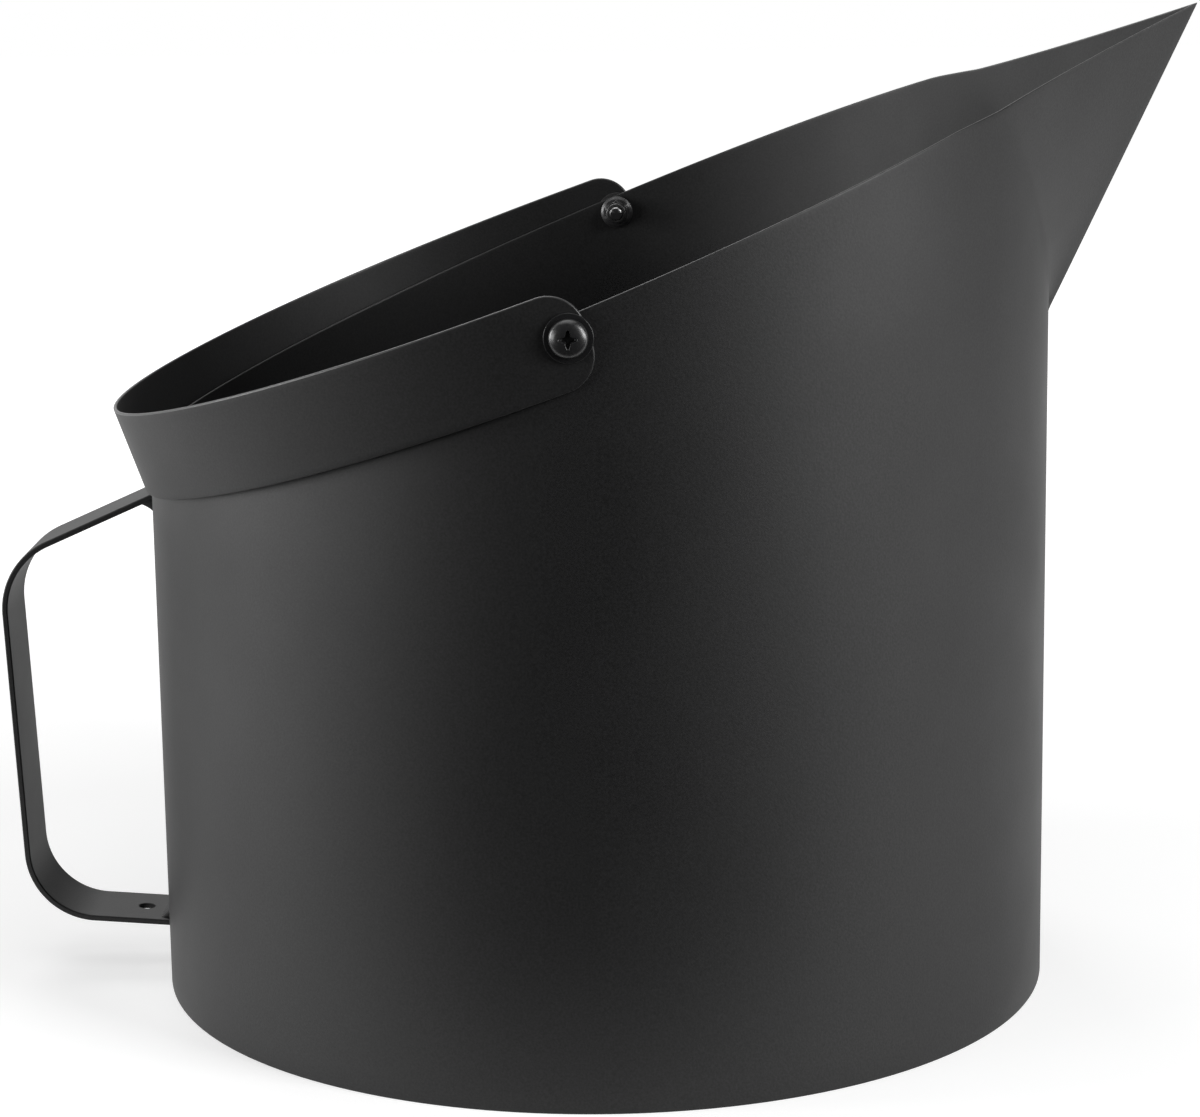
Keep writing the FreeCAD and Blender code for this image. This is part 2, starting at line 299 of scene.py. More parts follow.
def place(name, mesh, materials, body, slot, *nodes):
    """Object for a finished mesh, which moves with a body and stands for CAD nodes."""
    piece = bpy.data.objects.new(name, mesh)
    bpy.context.scene.collection.objects.link(piece)
    for material in materials:
        mesh.materials.append(material)
    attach(piece, body)
    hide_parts(*nodes)
    return piece


def bezier(start, middle, end, steps):
    """Points of a quadratic curve, as a new first axis."""
    t = np.linspace(0, 1, steps).reshape((-1,) + (1,) * np.ndim(start))
    return (1 - t) ** 2 * start + 2 * t * (1 - t) * middle + t ** 2 * end


def unit(vector):
    """A vector's direction, with length 1."""
    return vector / np.linalg.norm(vector)


# Wall and spout

CREASE_X = BODY_RADIUS * np.cos(SPOUT_HALF_ANGLE)
TIP_X = BODY_RADIUS + SPOUT_REACH
TIP_Z = RIM_HEIGHT + RIM_RISE * TIP_X - SPOUT_TIP_DROP
ROOT_Z = RIM_HEIGHT + RIM_RISE * CREASE_X - SPOUT_DEPTH
FOOT_Z = ROOT_Z - SPOUT_FRONT_DROP
LIP_ANGLE = np.arctan2(BODY_RADIUS * np.sin(SPOUT_HALF_ANGLE), TIP_X - CREASE_X)


def spout_skin(share, along, radius, tip_x):
    """Point on the spout: each lip line is a quadratic curve from a crease (along 0) to the front edge (1).

    The crease climbs round the cylinder in step with share, the front edge runs straight from its foot
    to the tip, and the curve's middle point is drawn in towards the axis by share of the pinch.
    """
    turn = SPOUT_HALF_ANGLE * share
    crease_x = radius * np.cos(turn)
    crease_y = radius * np.sin(turn)
    crease_z = ROOT_Z + SPOUT_DEPTH * share
    chord_x = radius + (tip_x - radius) * share - crease_x
    chord_z = FOOT_Z + (TIP_Z - FOOT_Z) * share - crease_z
    pinch = LIP_PINCH * share / np.hypot(chord_x, crease_y)
    pull_x = chord_x / 2 - crease_y * pinch
    pull_y = -crease_y / 2 - chord_x * pinch
    middle = 2 * along * (1 - along)
    end = along ** 2
    x = crease_x + middle * pull_x + end * chord_x
    y = crease_y + middle * pull_y - end * crease_y
    z = crease_z + (middle * pull_x / chord_x + end) * chord_z
    return x, y, z


def spout_radius(theta, z, radius, tip_x):
    """Distance of the spout's skin from the axis, in a direction and at a height.

    Halving finds the place along a lip line that lies in the direction, and a few linear steps find the
    lip line that passes through the height there. Past the crease the skin's height above the cylinder
    is its own reflection, turned inwards, and below the spout's root it sinks with the front edge's slope.
    """
    lowest = ROOT_Z + LOWEST_SHARE * SPOUT_DEPTH
    height = np.maximum(z, lowest)
    share = (height - ROOT_Z) / SPOUT_DEPTH
    crease = SPOUT_HALF_ANGLE * share
    past = theta > crease
    theta = np.where(past, np.maximum(2 * crease - theta, 0), theta)
    theta = np.minimum(np.sqrt(theta ** 2 + RIDGE_SOFTNESS ** 2), crease)
    low = np.zeros(np.shape(height))
    high = np.ones(np.shape(height))
    for _ in range(HALVINGS):
        along = (low + high) / 2
        for _ in range(HEIGHT_STEPS):
            missing = height - spout_skin(share, along, radius, tip_x)[2]
            climb = SPOUT_DEPTH + LIP_SPREAD * along * SPOUT_DEPTH
            share = np.maximum(share + missing / climb, LEAST_SHARE)
        x, y, _ = spout_skin(share, along, radius, tip_x)
        beside = np.arctan2(y, x) > theta
        low = np.where(beside, along, low)
        high = np.where(beside, high, along)
    slope = (tip_x - radius) / (TIP_Z - FOOT_Z)
    proud = np.hypot(x, y) - radius
    return radius + np.where(past, -proud, proud) - (height - z) * slope


def skin_radius(theta, z, radius, tip_x):
    """Wall's distance from the axis: the cylinder or the spout, whichever is further out, softly joined."""
    proud = spout_radius(np.abs(theta), z, radius, tip_x) - radius
    return radius + CREASE_SOFTNESS * np.logaddexp(0, proud / CREASE_SOFTNESS)


def rim_edge(x):
    """Height of the cut edge at x: a slanted line, a small dip before the crease and a line to the tip."""
    dip_x = CREASE_X - LIP_DIP_RUN
    low_x = -2 * BODY_RADIUS
    knots = [low_x, dip_x, CREASE_X, TIP_X]
    crease_z = RIM_HEIGHT + RIM_RISE * CREASE_X - LIP_DIP
    heights = [RIM_HEIGHT + RIM_RISE * low_x, RIM_HEIGHT + RIM_RISE * dip_x, crease_z, TIP_Z]
    return np.interp(x, knots, heights)


def wall_side(theta, levels, radius, tip_x):
    """One side of the sheet as a grid: height is a level (0 to 1) of the way up to the rim at each angle.

    Also gives the points of the lower edge and of the rim. The rim's height follows from the edge line by
    repeated substitution, because the spout leans out as it climbs.
    """
    top = rim_edge(radius * np.cos(theta))
    for _ in range(RIM_STEPS):
        top = rim_edge(skin_radius(theta, top, radius, tip_x) * np.cos(theta))
    z = EDGE_ROUND + levels[:, None] * (top - 2 * EDGE_ROUND)
    rows = np.vstack([np.zeros_like(top), z, top])
    r = skin_radius(np.broadcast_to(theta, rows.shape), rows, radius, tip_x)
    points = np.stack([r * np.cos(theta), r * np.sin(theta), rows], axis=-1)
    return points[1:-1], points[0], points[-1]


def bin_wall(material, rim_material):
    """Round wall with its spout: inner side down, under the lower edge, outer side up, and the rounded rim.

    Each rounded edge is a pair of quadratic curves from one side of the sheet to the other.
    """
    fine = np.linspace(-FINE_SPAN, FINE_SPAN, FINE_COLUMNS)
    coarse = np.linspace(FINE_SPAN, 2 * np.pi - FINE_SPAN, COARSE_COLUMNS)[1:-1]
    theta = np.concatenate([fine, coarse])
    theta = (theta + np.pi) % (2 * np.pi) - np.pi
    coarse_levels = np.linspace(0, FINE_LEVEL, COARSE_ROWS)[:-1]
    levels = np.concatenate([coarse_levels, np.linspace(FINE_LEVEL, 1, FINE_ROWS)])
    outer, outer_low, outer_top = wall_side(theta, levels, BODY_RADIUS, TIP_X)
    inner_tip = TIP_X - SHEET / np.sin(LIP_ANGLE)
    inner, inner_low, inner_top = wall_side(theta, levels, BODY_RADIUS - SHEET, inner_tip)
    across_top = inner_top - outer_top
    across_top *= EDGE_ROUND / np.linalg.norm(across_top, axis=-1, keepdims=True)
    across_low = inner_low - outer_low
    across_low *= EDGE_ROUND / np.linalg.norm(across_low, axis=-1, keepdims=True)
    sides = np.vstack([
        inner[::-1],
        bezier(inner[0], inner_low, inner_low - across_low, EDGE_STEPS)[1:],
        bezier(outer_low + across_low, outer_low, outer[0], EDGE_STEPS)[:-1],
        outer,
    ])
    rim = np.vstack([
        bezier(outer[-1], outer_top, outer_top + across_top, EDGE_STEPS),
        bezier(inner_top - across_top, inner_top, inner[-1], EDGE_STEPS),
    ])
    mesh = merged_mesh("bin_wall", [(sides, False, True), (rim, False, True)], worn_patch=1)
    place("bin_wall", mesh, [material, rim_material], "bucket", "powder_coat", "body_shell")


# Bail

def bail_point(run, across, depth):
    """Point of the bail: a distance along the U, a height across it and a depth below its outer face.

    Along the U the outer face runs straight, round half a circle and straight again. The level U is then
    turned down about the pivot.
    """
    outer = BAIL_INNER + BAIL_SHEET
    straight = BAIL_LEG + BAIL_END
    whole = 2 * straight + np.pi * outer
    angle = np.clip((run - straight) / outer, 0, np.pi)
    leg = np.maximum(straight - np.minimum(run, whole - run), 0)
    x = leg - BAIL_LEG - (outer - depth) * np.sin(angle)
    y = -(outer - depth) * np.cos(angle)
    z = across - BAIL_DROP
    down_x = x * np.cos(BAIL_REST) - z * np.sin(BAIL_REST)
    down_z = x * np.sin(BAIL_REST) + z * np.cos(BAIL_REST)
    return np.stack([down_x, y, down_z], axis=-1) + PIVOT


def bail_strip(material, worn_material):
    """Bail: both faces are grids along the U and across the strip, joined by rings round the rounded edge.

    Across, a face's half width shrinks at each end as the corner's circle does. Each ring is the face's
    border, moved out along the border's normal and down by a quarter circle.
    """
    corner = (BAIL_WIDTH - BAIL_END_FLAT) / 2
    straight = BAIL_LEG + BAIL_END
    turn = np.linspace(0, np.pi / 2, BAIL_CORNER_STEPS)
    half_run = np.concatenate([
        corner - (corner - EDGE_ROUND) * np.cos(turn),
        np.linspace(corner, straight, BAIL_LEG_STEPS)[1:],
        straight + (BAIL_INNER + BAIL_SHEET) * np.linspace(0, np.pi / 2, BAIL_BEND_STEPS)[1:],
    ])
    half_lean = np.concatenate([turn, np.full(len(half_run) - len(turn), np.pi / 2)])
    run = np.concatenate([half_run, 2 * half_run[-1] - half_run[-2::-1]])
    lean = np.concatenate([half_lean, np.pi - half_lean[-2::-1]])
    half_width = BAIL_END_FLAT / 2 + (corner - EDGE_ROUND) * np.sin(lean)
    share = np.linspace(-1, 1, BAIL_ROWS)
    across = share[:, None] * half_width
    along = np.broadcast_to(run, across.shape)
    outer = bail_point(along, across, 0)
    inner = bail_point(along, across, BAIL_SHEET)

    end = share[1:-1]
    still = np.zeros_like(end)
    low_end = end * half_width[0]
    high_end = -end * half_width[-1]
    border_run = np.concatenate([run, still + run[-1], run[::-1], still + run[0]])
    border_across = np.concatenate([half_width, high_end, -half_width[::-1], low_end])
    out_run = np.concatenate([-np.cos(lean), still + 1, -np.cos(lean[::-1]), still - 1])
    out_across = np.concatenate([np.sin(lean), still, -np.sin(lean[::-1]), still])
    quarter = np.linspace(0, np.pi / 2, BAIL_EDGE_STEPS)
    shift = EDGE_ROUND * np.sin(np.concatenate([quarter, quarter[::-1]]))[:, None]
    sink = EDGE_ROUND * (1 - np.cos(quarter))
    depth = np.concatenate([sink, BAIL_SHEET - sink[::-1]])[:, None]
    rings = bail_point(border_run + shift * out_run, border_across + shift * out_across, depth)
    upper = rings[:, :len(run)]
    lower = np.hstack([rings[:, len(run) - 1:], rings[:, :1]])
    patches = [(grid, False, False) for grid in (outer, upper, lower, inner)]
    mesh = merged_mesh("bail_strip", patches, worn_patch=1)
    place("bail_strip", mesh, [material, worn_material], "bail", "powder_coat", "bail_handle")


# Rear handle and its welds

def thicken(piece, thickness, edge):
    """Gives a sheet its thickness on the side away from its faces, and rounds its cut edges."""
    solid = piece.modifiers.new("thickness", "SOLIDIFY")
    solid.thickness = thickness
    solid.offset = -1
    solid.use_even_offset = True
    rounding = piece.modifiers.new("coated_edges", "BEVEL")
    rounding.width = edge
    rounding.segments = BEVEL_SEGMENTS
    rounding.limit_method = "ANGLE"
    rounding.angle_limit = np.radians(SHARP_ANGLE)
    rounding.harden_normals = True


def bent_path(corners, radii, arc_steps):
    """Points along straight runs joined by tangent arcs, each arc turned evenly about its centre."""
    pieces = [corners[:1]]
    t = np.linspace(0, 1, arc_steps)[:, None]
    for before, corner, after, radius in zip(corners, corners[1:], corners[2:], radii):
        back = unit(before - corner)
        ahead = unit(after - corner)
        half = np.arccos(back @ ahead) / 2
        sweep = np.pi - 2 * half
        centre = corner + unit(back + ahead) * radius / np.sin(half)
        first = corner + back * radius / np.tan(half) - centre
        last = corner + ahead * radius / np.tan(half) - centre
        pieces.append(centre + (np.sin((1 - t) * sweep) * first + np.sin(t * sweep) * last) / np.sin(sweep))
    pieces.append(corners[-1:])
    return np.vstack(pieces)


def wall_x(y):
    """Back of the wall, with the bare gap that a weld closes."""
    return -np.sqrt((BODY_RADIUS + HANDLE_ROOM) ** 2 - y ** 2)


def on_leg(x, root, corner):
    """Height of a straight leg's outer face at x."""
    return root[1] + (x - root[0]) * (corner[1] - root[1]) / (corner[0] - root[0])


def handle_strip(material):
    """Rear handle: a grid along the bent path and across the strip, and a holed plate at its lower end.

    The plate's grid runs outwards from the hole's circle to the plate's four sides, by straight rays.
    Modifiers give the sheet its thickness and its rounded edges.
    """
    top, upper, lower, foot = HANDLE_CORNERS
    half = HANDLE_WIDTH / 2
    plate_end = foot[0] - HOLE_PLATE
    plate_edge = np.array([plate_end, on_leg(plate_end, foot, lower)])
    path = bent_path(np.array([top, upper, lower, plate_edge]), HANDLE_BENDS, HANDLE_BEND_STEPS)
    y = np.linspace(-half, half, HANDLE_COLUMNS)
    x = np.repeat(path[:, :1], len(y), axis=1)
    z = np.repeat(path[:, 1:], len(y), axis=1)
    x[0] = wall_x(y)
    z[0] = on_leg(x[0], top, upper)
    strip = np.stack([x, np.broadcast_to(y, x.shape), z], axis=-1)

    side = np.linspace(0, 1, PLATE_COLUMNS)[1:-1]
    side_x = plate_end + side * (wall_x(half) - plate_end)
    rim_x = np.concatenate([np.full(len(y), plate_end), side_x, wall_x(y[::-1]), side_x[::-1]])
    rim_y = np.concatenate([y, np.full(len(side), half), y[::-1], np.full(len(side), -half)])
    ray = np.arctan2(rim_y, rim_x - HOLE_X)
    out = np.array(PLATE_RINGS)[:, None]
    plate_x = HOLE_X + (1 - out) * HOLE_RADIUS * np.cos(ray) + out * (rim_x - HOLE_X)
    plate_y = (1 - out) * HOLE_RADIUS * np.sin(ray) + out * rim_y
    plate = np.stack([plate_x, plate_y, on_leg(plate_x, foot, lower)], axis=-1)

    middle = ((upper[0] + foot[0]) / 2, 0, (upper[1] + lower[1]) / 2)
    mesh = merged_mesh("handle_strip", [(strip, False, False), (plate, False, True)], inside=middle)
    piece = place("handle_strip", mesh, [material], "bucket", "powder_coat", "rear_handle")
    thicken(piece, HANDLE_SHEET, EDGE_ROUND)


def bead_section(tip, corner, toe):
    """Closed section of a fillet weld: a hollow curve from tip to toe, then back along both legs."""
    hollow = corner + WELD_FILL * ((tip + toe) / 2 - corner)
    face = bezier(tip, 2 * hollow - (tip + toe) / 2, toe, WELD_FACE_STEPS)
    return np.concatenate([face, corner[None]])


def handle_weld(name, root, corner, up, leg, inset, material):
    """Weld in the corner between a handle leg and the wall: a section carried across the strip.

    The leg of the section swells with each ripple of the bead and runs out to nothing at both ends.
    """
    half = HANDLE_WIDTH / 2 - inset
    across = half * np.sin(np.linspace(-np.pi / 2, np.pi / 2, WELD_STEPS))
    out = unit(corner - root)
    x = wall_x(across)
    z = on_leg(x, root, corner) + up * HANDLE_SHEET / abs(out[0])
    swell = 1 + WELD_RIPPLE * np.abs(np.sin(np.pi * across / WELD_PITCH))
    size = leg * swell * np.sqrt(np.maximum(1 - (across / half) ** WELD_RUN_OUT, 0))
    start = np.stack([x, across, z], axis=-1)
    tip = start + size[:, None] * np.array([out[0], 0, out[1]])
    toe = start + size[:, None] * np.array([0, 0, up])
    points = bead_section(tip, start, toe).transpose(1, 0, 2)
    mesh = merged_mesh(name, [(points, False, True)])
    place(name + "_bead", mesh, [material], "bucket", "powder_coat", name)


def base_bead(material):
    """Weld round the inside of the base: the fillet's section turned about the axis, with its ripples."""
    edge = BODY_RADIUS - SHEET - HANDLE_ROOM
    theta = np.linspace(0, 2 * np.pi, BASE_STEPS, endpoint=False)
    ripples = round(2 * np.pi * edge / (2 * WELD_PITCH))
    leg = BASE_BEAD * (1 + WELD_RIPPLE * (np.abs(np.sin(ripples * theta)) - 1))
    flat = np.stack([np.full_like(theta, edge), np.full_like(theta, BASE_SHEET)], axis=-1)
    tip = flat - np.stack([leg, np.zeros_like(leg)], axis=-1)
    toe = flat + np.stack([np.zeros_like(leg), leg], axis=-1)
    section = bead_section(tip, flat, toe)
    radius = section[..., 0]
    z = section[..., 1]
    points = np.stack([radius * np.cos(theta), radius * np.sin(theta), z], axis=-1)
    mesh = merged_mesh("base_bead", [(points, True, True)])
    place("base_bead", mesh, [material], "bucket", "powder_coat", "base_weld")


# Pivot hardware

def turned(profile, angles, side):
    """Grid of a profile of (distance along the pivot, radius) turned about the pivot's axis.

    Radius may differ with the angle, as on a hexagon. Side is 1 on the left and -1 on the right.
    """
    along, radius = profile
    x = radius * np.cos(angles)
    z = radius * np.sin(angles)
    y = np.broadcast_to(side * along, x.shape)
    return np.stack([x, y, z], axis=-1) + np.array([PIVOT[0], 0, PIVOT[2]])


def reach(node):
    """A left node's extent along the pivot, and its outer radius."""
    low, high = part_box(node)
    return low.y, high.y, (high.x - low.x) / 2


def ring(name, node, side, bore, edge, material, slot):
    """Washer or insert: a rounded rectangle turned about the pivot."""
    low, high, radius = reach("left_" + node)
    corner = np.linspace(0, np.pi / 2, RING_EDGE_STEPS)
    rise = edge * (1 - np.cos(corner))
    fall = edge * (1 - np.sin(corner))
    along = np.concatenate([[low], low + rise, high - rise[::-1], [high]])
    radii = np.concatenate([[bore], radius - fall, radius - fall[::-1], [bore]])
    angles = np.linspace(0, 2 * np.pi, RING_STEPS, endpoint=False)
    points = turned((along[:, None], np.repeat(radii[:, None], RING_STEPS, axis=1)), angles, side)
    mesh = merged_mesh(name, [(points, True, True)], RING_SHARP_ANGLE)
    place(name, mesh, [material], "bucket", slot, SIDE_NAMES[side] + node)


def dome_height(away, radius):
    """Height of the head's flattened dome over its straight rim, at a distance from the axis."""
    return HEAD_DOME * np.sqrt(np.maximum(1 - (away / radius) ** HEAD_FLATNESS, 0))


def pivot_screw(side, material, bare_material):
    """Screw: a domed disc with a cross pressed into it, on a turned rim and a shank with a thread.

    The disc is a square grid rounded into a circle. The dome is a flattened ball, and the cross is as deep
    as a cone in its middle but no deeper than its steep walls let it be. The thread is a helix: the shank's
    radius is a zigzag of the distance along the screw less the turn. The chamfer at its end is bare.
    """
    low, _, radius = reach("left_pivot_screw")
    seat = reach("left_head_washer")[1]
    steps = np.linspace(-1, 1, HEAD_STEPS)
    u, w = np.meshgrid(steps, steps)
    x = radius * u * np.sqrt(1 - w ** 2 / 2)
    z = radius * w * np.sqrt(1 - u ** 2 / 2)
    away = np.hypot(x, z)
    dome = dome_height(away, radius)
    arm = np.minimum(np.abs(x), np.abs(z))
    cone = RECESS_DEPTH * np.clip((RECESS_RADIUS - away) / (RECESS_RADIUS - RECESS_ROOT), 0, 1)
    half_arm = RECESS_WIDTH / 2 * (1 - RECESS_TAPER * np.minimum(away / RECESS_RADIUS, 1))
    walls = RECESS_DEPTH * np.clip((half_arm - arm) / RECESS_DRAFT, 0, 1)
    top = seat + HEAD_EDGE + dome - np.minimum(cone, walls)
    head = np.stack([x, side * top, z], axis=-1) + np.array([PIVOT[0], 0, PIVOT[2]])

    border_x = np.concatenate([x[0, :-1], x[:-1, -1], x[-1, :0:-1], x[:0:-1, 0]])
    border_z = np.concatenate([z[0, :-1], z[:-1, -1], z[-1, :0:-1], z[:0:-1, 0]])
    angles = np.arctan2(border_z, border_x)
    shank = np.linspace(seat - SHANK_START, low + SCREW_CHAMFER, SHANK_STEPS)
    edge = HEAD_ROUND
    edge_along = [seat + HEAD_EDGE, seat + edge, seat + edge / 3, seat, seat]
    edge_radii = [radius, radius, radius - edge / 3, radius - edge, SCREW_RADIUS]
    end_radii = [SCREW_RADIUS - SCREW_CHAMFER, 0]
    along = np.concatenate([edge_along, shank, [low, low]])
    radii = np.concatenate([edge_radii, np.full(SHANK_STEPS, SCREW_RADIUS), end_radii])
    phase = along[:, None] / THREAD_PITCH - angles / (2 * np.pi)
    zigzag = 2 * np.abs(phase - np.round(phase))
    threaded = ((along < THREAD_START) & (along > low))[:, None]
    cut = np.where(threaded, THREAD_DEPTH * zigzag, 0)
    body = turned((along[:, None], radii[:, None] - cut), angles, side)
    name = SIDE_NAMES[side] + "pivot_screw"
    rounds = [(rows, False, True) for rows in (body[:-2], body[-3:-1], body[-2:])]
    patches = [(head, False, False), *rounds]
    mesh = merged_mesh(name + "_turned", patches, SCREW_SHARP_ANGLE, worn_patch=2)
    place(name + "_turned", mesh, [material, bare_material], "bucket", "black_steel", name)


def lock_nut(side, material):
    """Flanged lock nut: one profile turned about the pivot, whose radius is a hexagon's in its middle."""
    low, high, flange = reach("left_lock_nut")
    angles = np.linspace(0, 2 * np.pi, NUT_STEPS, endpoint=False)
    to_flat = (angles + np.pi / 6) % (np.pi / 3) - np.pi / 6
    hexagon = np.minimum(NUT_FLATS / 2 / np.cos(to_flat), NUT_CORNERS * NUT_FLATS / np.sqrt(3))
    edge = NUT_EDGE
    under = high - NUT_FLANGE
    roll = np.linspace(0, np.pi / 2, NUT_ROLL_STEPS)
    roll_along = low + NUT_ROLL * (1 - np.sin(roll))
    roll_radius = NUT_RECESS + (NUT_COLLAR - NUT_RECESS) * np.cos(roll)
    rows = [
        (high, NUT_BORE),
        (high, flange - edge),
        (high - edge / 3, flange - edge / 3),
        (high - edge, flange),
        (under + edge, flange),
        (under + edge / 3, flange - edge / 3),
        (under, flange - edge),
        (under - NUT_BEVEL, flange - edge - NUT_BEVEL),
        (under - NUT_CONE, hexagon),
        (high - NUT_HEX + edge, hexagon),
        (high - NUT_HEX, np.minimum(hexagon, NUT_FLATS / 2)),
        (high - NUT_HEX, NUT_COLLAR),
        *zip(roll_along, roll_radius),
        (low + NUT_RECESS_DEPTH, NUT_RECESS),
        (low + NUT_RECESS_DEPTH, NUT_BORE),
    ]
    along = np.array([row[0] for row in rows])[:, None]
    radii = np.array([np.broadcast_to(row[1], angles.shape) for row in rows])
    points = turned((along, radii), angles, side)
    name = SIDE_NAMES[side] + "lock_nut"
    mesh = merged_mesh(name + "_turned", [(points, True, True)], NUT_SHARP_ANGLE)
    place(name + "_turned", mesh, [material], "bucket", "black_steel", name)


# Materials

def new_material(name):
    """Material with its shader and its links."""
    material = bpy.data.materials.new(name)
    material.use_nodes = True
    return material, material.node_tree.nodes["Principled BSDF"], material.node_tree.links


def grain(material, name, scale, detail=2.0):
    """Noise in Object coordinates, per metre, with its factor as output."""
    nodes = material.node_tree.nodes
    links = material.node_tree.links
    spot = nodes.get("Texture Coordinate") or nodes.new("ShaderNodeTexCoord")
    noise = nodes.new("ShaderNodeTexNoise")
    noise.name = name
    noise.inputs["Scale"].default_value = scale
    noise.inputs["Detail"].default_value = detail
    links.new(spot.outputs["Object"], noise.inputs["Vector"])
    return noise.outputs["Fac"]


def ranged(material, source, low, high, from_range=GRAIN_RANGE):
    """Maps a factor to a range of values."""
    node = material.node_tree.nodes.new("ShaderNodeMapRange")
    node.inputs["From Min"].default_value = from_range[0]
    node.inputs["From Max"].default_value = from_range[1]
    node.inputs["To Min"].default_value = low
    node.inputs["To Max"].default_value = high
    material.node_tree.links.new(source, node.inputs["Value"])
    return node.outputs["Result"]


def shaded(material, factor, dark, light):
    """Colour between two greys by a factor."""
    nodes = material.node_tree.nodes
    mix = nodes.new("ShaderNodeMix")
    mix.data_type = "RGBA"
    mix.inputs["A"].default_value = (*dark, 1)
    mix.inputs["B"].default_value = (*light, 1)
    material.node_tree.links.new(factor, mix.inputs["Factor"])
    return mix.outputs["Result"]


def bumped(material, height, distance, strength):
    """Bump from a height, for the shader's normal."""
    node = material.node_tree.nodes.new("ShaderNodeBump")
    node.inputs["Distance"].default_value = distance
    node.inputs["Strength"].default_value = strength
    material.node_tree.links.new(height, node.inputs["Height"])
    return node.outputs["Normal"]


def powder_coat(name, rough, gloss):
    """Fine matt black powder coat: an even, grainy skin whose roughness differs a little by place."""
    material, shader, links = new_material(name)
    fine = grain(material, "powder_grain", COAT_GRAIN)
    broad = grain(material, "uneven_coat", COAT_PATCHES, COAT_PATCH_DETAIL)
    colour = shaded(material, ranged(material, fine, 0, 1), COAT_DARK, COAT_LIGHT)
    roughness = ranged(material, broad, rough - COAT_UNEVEN, rough + COAT_UNEVEN)
    links.new(colour, shader.inputs["Base Color"])
    links.new(roughness, shader.inputs["Roughness"])
    links.new(bumped(material, fine, *COAT_BUMP), shader.inputs["Normal"])
    shader.inputs["Specular IOR Level"].default_value = gloss
    return material


def black_steel(name, rough, gloss):
    """Black plated steel with a faint grain."""
    material, shader, links = new_material(name)
    fine = grain(material, "plating_grain", STEEL_GRAIN)
    roughness = ranged(material, fine, rough - STEEL_UNEVEN, rough + STEEL_UNEVEN)
    links.new(shaded(material, fine, STEEL_DARK, STEEL_LIGHT), shader.inputs["Base Color"])
    links.new(roughness, shader.inputs["Roughness"])
    links.new(bumped(material, fine, *STEEL_BUMP), shader.inputs["Normal"])
    shader.inputs["Specular IOR Level"].default_value = gloss
    return material


def bare_steel():
    """Steel where the plating has come off."""
    material, shader, links = new_material("bare_steel")
    fine = grain(material, "bare_grain", STEEL_GRAIN)
    links.new(shaded(material, fine, BARE_DARK, BARE_LIGHT), shader.inputs["Base Color"])
    links.new(ranged(material, fine, *BARE_ROUGH), shader.inputs["Roughness"])
    shader.inputs["Metallic"].default_value = 1.0
    return material


def black_nylon():
    """Satin black nylon."""
    material, shader, links = new_material("black_nylon")
    fine = grain(material, "moulded_grain", NYLON_GRAIN)
    links.new(shaded(material, fine, NYLON_DARK, NYLON_LIGHT), shader.inputs["Base Color"])
    links.new(ranged(material, fine, *NYLON_ROUGH), shader.inputs["Roughness"])
    links.new(bumped(material, fine, *NYLON_BUMP), shader.inputs["Normal"])
    return material


# Studio

def camera():
    """Camera of the photograph: its place, its three directions and its focal length."""
    right = Vector(CAMERA_RIGHT).normalized()
    view = Vector(CAMERA_VIEW).normalized()
    up = right.cross(view).normalized()
    right = view.cross(up)
    data = bpy.data.cameras.new("camera")
    data.lens = CAMERA_LENS
    data.sensor_width = CAMERA_SENSOR
    eye = bpy.data.objects.new("camera", data)
    turn = Matrix((right, up, -view)).transposed().to_4x4()
    eye.matrix_world = Matrix.Translation(CAMERA_PLACE) @ turn
    bpy.context.scene.collection.objects.link(eye)
    bpy.context.scene.camera = eye


def seen_rays(tree):
    """1 for camera, glossy and transmission rays, which show the background, and 0 for the rest."""
    rays = tree.nodes.new("ShaderNodeLightPath")
    shown = rays.outputs["Is Camera Ray"]
    for kind in ("Is Glossy Ray", "Is Transmission Ray"):
        either = tree.nodes.new("ShaderNodeMath")
        either.operation = "MAXIMUM"
        tree.links.new(shown, either.inputs[0])
        tree.links.new(rays.outputs[kind], either.inputs[1])
        shown = either.outputs[0]
    return shown


def product(tree, first, second):
    """One value times another."""
    node = tree.nodes.new("ShaderNodeMath")
    node.operation = "MULTIPLY"
    tree.links.new(first, node.inputs[0])
    tree.links.new(second, node.inputs[1])
    return node.outputs[0]


def floor():
    """Table top that ends a little way in front of the bin: pale, with a glow that lifts it to white."""
    mesh = bpy.data.meshes.new("floor")
    front = [(-FLOOR_SIZE, FLOOR_FRONT, 0), (FLOOR_SIZE, FLOOR_FRONT, 0)]
    back = [(FLOOR_SIZE, FLOOR_SIZE, 0), (-FLOOR_SIZE, FLOOR_SIZE, 0)]
    mesh.from_pydata(front + back, [], [(0, 1, 2, 3)])
    top = bpy.data.objects.new("floor", mesh)
    bpy.context.scene.collection.objects.link(top)
    material, shader, links = new_material("floor")
    shader.inputs["Base Color"].default_value = (*FLOOR_COLOUR, 1)
    shader.inputs["Roughness"].default_value = 1.0
    shader.inputs["Specular IOR Level"].default_value = 0.0
    shader.inputs["Emission Color"].default_value = (1, 1, 1, 1)
    tree = material.node_tree
    spot = tree.nodes.new("ShaderNodeTexCoord")
    away = tree.nodes.new("ShaderNodeVectorMath")
    away.operation = "LENGTH"
    links.new(spot.outputs["Object"], away.inputs[0])
    glow = ranged(material, away.outputs["Value"], FLOOR_GLOW, 1.0, (GLOW_NEAR, GLOW_FAR))
    links.new(product(tree, glow, seen_rays(tree)), shader.inputs["Emission Strength"])
    mesh.materials.append(material)


